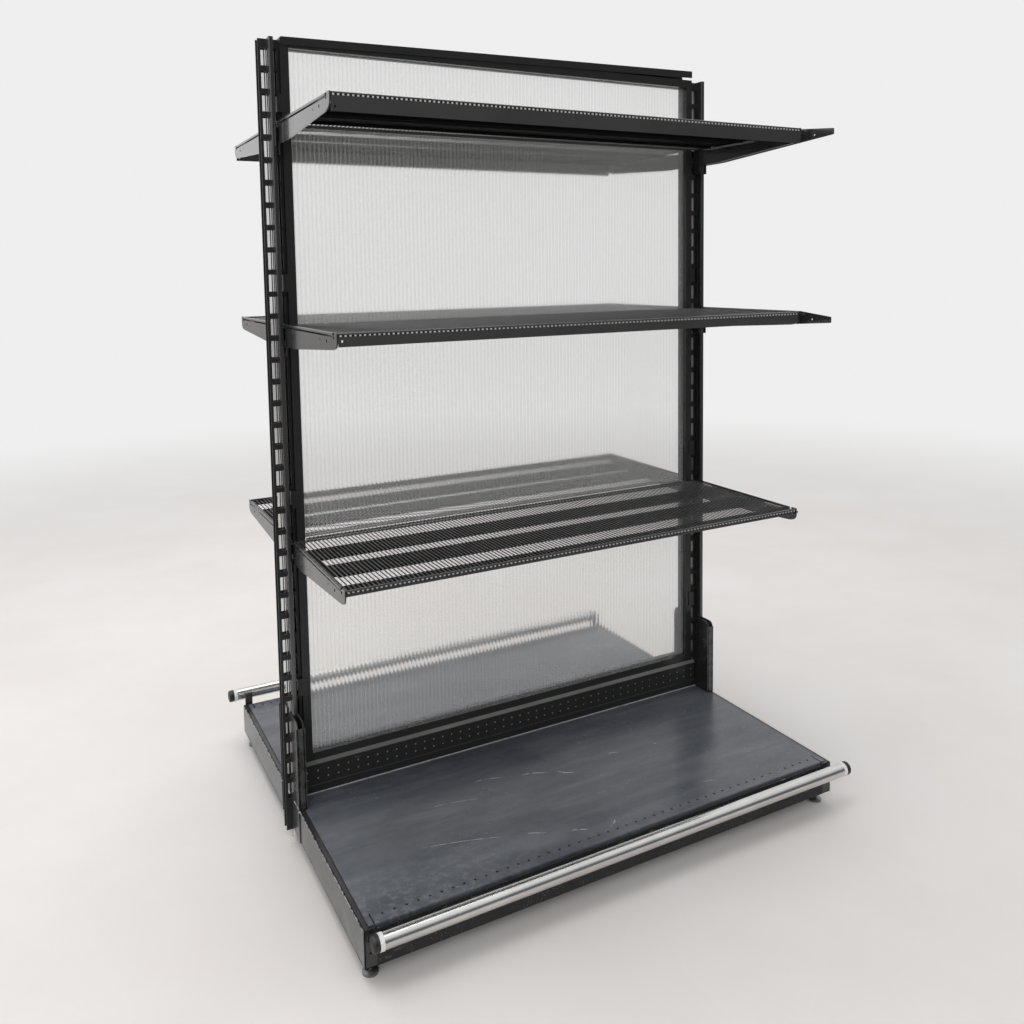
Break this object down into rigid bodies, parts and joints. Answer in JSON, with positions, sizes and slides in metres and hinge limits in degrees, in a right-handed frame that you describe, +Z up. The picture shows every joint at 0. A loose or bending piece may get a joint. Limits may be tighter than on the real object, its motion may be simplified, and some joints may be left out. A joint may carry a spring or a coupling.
{
  "type": "gondola shelving",
  "caption": "Double-sided free-standing shop gondola: slotted uprights, framed twin-wall back panel, wire shelves on hook-in arms, steel base deck with bumper tubes.",
  "frame": {"origin": "on the floor, below the middle of the bay and of its depth", "axes": "+X along the bay to the right, -Y towards the front shown in the picture, +Z up"},
  "size_m": [1.295, 1.121, 1.8933],
  "materials": {
    "black_paint": "semi-gloss powder coat, scuffed",
    "black_wire": "semi-gloss powder coat",
    "deck_paint": "worn satin powder coat",
    "stainless": "polished stainless tube",
    "zinc": "zinc-plated",
    "black_plastic": "moulded",
    "pad_plastic": "moulded",
    "twin_wall": "translucent twin-wall polycarbonate, ribs upright"
  },
  "bodies": {
    "frame": {"upright_left": "black_paint", "stile_left": "black_paint", "upright_right": "black_paint", "stile_right": "black_paint", "rail_top": "black_paint", "rail_bottom": "black_paint", "back_panel": "twin_wall", "base_foot_front_left": "black_paint", "bumper_cap_front_left": "black_plastic", "base_foot_front_right": "black_paint", "bumper_cap_front_right": "black_plastic", "plinth_front": "black_paint", "kick_front": "black_paint", "bumper_front": "stainless", "base_foot_rear_left": "black_paint", "bumper_cap_rear_left": "black_plastic", "base_foot_rear_right": "black_paint", "bumper_cap_rear_right": "black_plastic", "plinth_rear": "black_paint", "kick_rear": "black_paint", "bumper_rear": "stainless"},
    "arms_front_top": {"arm_front_top_left": "black_paint", "arm_front_top_right": "black_paint"},
    "shelf_front_top": {"deck_front_top": "black_wire", "bands_front_top": "black_wire"},
    "arms_front_middle": {"arm_front_middle_left": "black_paint", "arm_front_middle_right": "black_paint"},
    "shelf_front_middle": {"deck_front_middle": "black_wire", "bands_front_middle": "black_wire"},
    "arms_front_low": {"arm_front_low_left": "black_paint", "arm_front_low_right": "black_paint"},
    "shelf_front_low": {"deck_front_low": "black_wire", "bands_front_low": "black_wire"},
    "base_deck_front": {"base_deck_front": "deck_paint"},
    "arms_rear_top": {"arm_rear_top_left": "black_paint", "arm_rear_top_right": "black_paint"},
    "shelf_rear_top": {"deck_rear_top": "black_wire", "bands_rear_top": "black_wire"},
    "arms_rear_middle": {"arm_rear_middle_left": "black_paint", "arm_rear_middle_right": "black_paint"},
    "shelf_rear_middle": {"deck_rear_middle": "black_wire", "bands_rear_middle": "black_wire"},
    "arms_rear_low": {"arm_rear_low_left": "black_paint", "arm_rear_low_right": "black_paint"},
    "shelf_rear_low": {"deck_rear_low": "black_wire", "bands_rear_low": "black_wire"},
    "base_deck_rear": {"base_deck_rear": "deck_paint"},
    "spare_arm_top": {"spare_arm_top": "black_paint"},
    "spare_arm_middle": {"spare_arm_middle": "black_paint"},
    "top_cap": {"top_cap": "black_paint"},
    "leveller_front_left": {"leveller_front_left": "zinc"},
    "leveller_front_right": {"leveller_front_right": "zinc"},
    "leveller_rear_left": {"leveller_rear_left": "zinc"},
    "leveller_rear_right": {"leveller_rear_right": "zinc"},
    "leveller_post_left": {"leveller_post_left": "pad_plastic"},
    "leveller_post_right": {"leveller_post_right": "pad_plastic"}
  },
  "joints": [
    {"name": "unhook_front_top", "type": "slide", "parent": "frame", "child": "arms_front_top", "axis": [0, 0, 1], "range_m": [0, 0.012]},
    {"name": "lift_deck_front_top", "type": "slide", "parent": "arms_front_top", "child": "shelf_front_top", "axis": [0, 0, 1], "range_m": [0, 0.06]},
    {"name": "unhook_front_middle", "type": "slide", "parent": "frame", "child": "arms_front_middle", "axis": [0, 0, 1], "range_m": [0, 0.012]},
    {"name": "lift_deck_front_middle", "type": "slide", "parent": "arms_front_middle", "child": "shelf_front_middle", "axis": [0, 0, 1], "range_m": [0, 0.06]},
    {"name": "unhook_front_low", "type": "slide", "parent": "frame", "child": "arms_front_low", "axis": [0, 0, 1], "range_m": [0, 0.012]},
    {"name": "lift_deck_front_low", "type": "slide", "parent": "arms_front_low", "child": "shelf_front_low", "axis": [0, 0, 1], "range_m": [0, 0.06]},
    {"name": "lift_base_deck_front", "type": "slide", "parent": "frame", "child": "base_deck_front", "axis": [0, 0, 1], "range_m": [0, 0.06]},
    {"name": "unhook_rear_top", "type": "slide", "parent": "frame", "child": "arms_rear_top", "axis": [0, 0, 1], "range_m": [0, 0.012]},
    {"name": "lift_deck_rear_top", "type": "slide", "parent": "arms_rear_top", "child": "shelf_rear_top", "axis": [0, 0, 1], "range_m": [0, 0.06]},
    {"name": "unhook_rear_middle", "type": "slide", "parent": "frame", "child": "arms_rear_middle", "axis": [0, 0, 1], "range_m": [0, 0.012]},
    {"name": "lift_deck_rear_middle", "type": "slide", "parent": "arms_rear_middle", "child": "shelf_rear_middle", "axis": [0, 0, 1], "range_m": [0, 0.06]},
    {"name": "unhook_rear_low", "type": "slide", "parent": "frame", "child": "arms_rear_low", "axis": [0, 0, 1], "range_m": [0, 0.012]},
    {"name": "lift_deck_rear_low", "type": "slide", "parent": "arms_rear_low", "child": "shelf_rear_low", "axis": [0, 0, 1], "range_m": [0, 0.06]},
    {"name": "lift_base_deck_rear", "type": "slide", "parent": "frame", "child": "base_deck_rear", "axis": [0, 0, 1], "range_m": [0, 0.06]},
    {"name": "unhook_spare_top", "type": "slide", "parent": "frame", "child": "spare_arm_top", "axis": [0, 0, 1], "range_m": [0, 0.012]},
    {"name": "unhook_spare_middle", "type": "slide", "parent": "frame", "child": "spare_arm_middle", "axis": [0, 0, 1], "range_m": [0, 0.012]},
    {"name": "lift_cap", "type": "slide", "parent": "frame", "child": "top_cap", "axis": [0, 0, 1], "range_m": [0, 0.05]},
    {"name": "turn_leveller_front_left", "type": "hinge", "parent": "frame", "child": "leveller_front_left", "pos_m": [-0.5899, -0.4945, 0], "axis": [0, 0, 1], "continuous": true},
    {"name": "turn_leveller_front_right", "type": "hinge", "parent": "frame", "child": "leveller_front_right", "pos_m": [0.5899, -0.4945, 0], "axis": [0, 0, 1], "continuous": true},
    {"name": "turn_leveller_rear_left", "type": "hinge", "parent": "frame", "child": "leveller_rear_left", "pos_m": [-0.5899, 0.4945, 0], "axis": [0, 0, 1], "continuous": true},
    {"name": "turn_leveller_rear_right", "type": "hinge", "parent": "frame", "child": "leveller_rear_right", "pos_m": [0.5899, 0.4945, 0], "axis": [0, 0, 1], "continuous": true},
    {"name": "turn_leveller_post_left", "type": "hinge", "parent": "frame", "child": "leveller_post_left", "pos_m": [-0.6025, 0, 0], "axis": [0, 0, 1], "continuous": true},
    {"name": "turn_leveller_post_right", "type": "hinge", "parent": "frame", "child": "leveller_post_right", "pos_m": [0.6025, 0, 0], "axis": [0, 0, 1], "continuous": true}
  ]
}
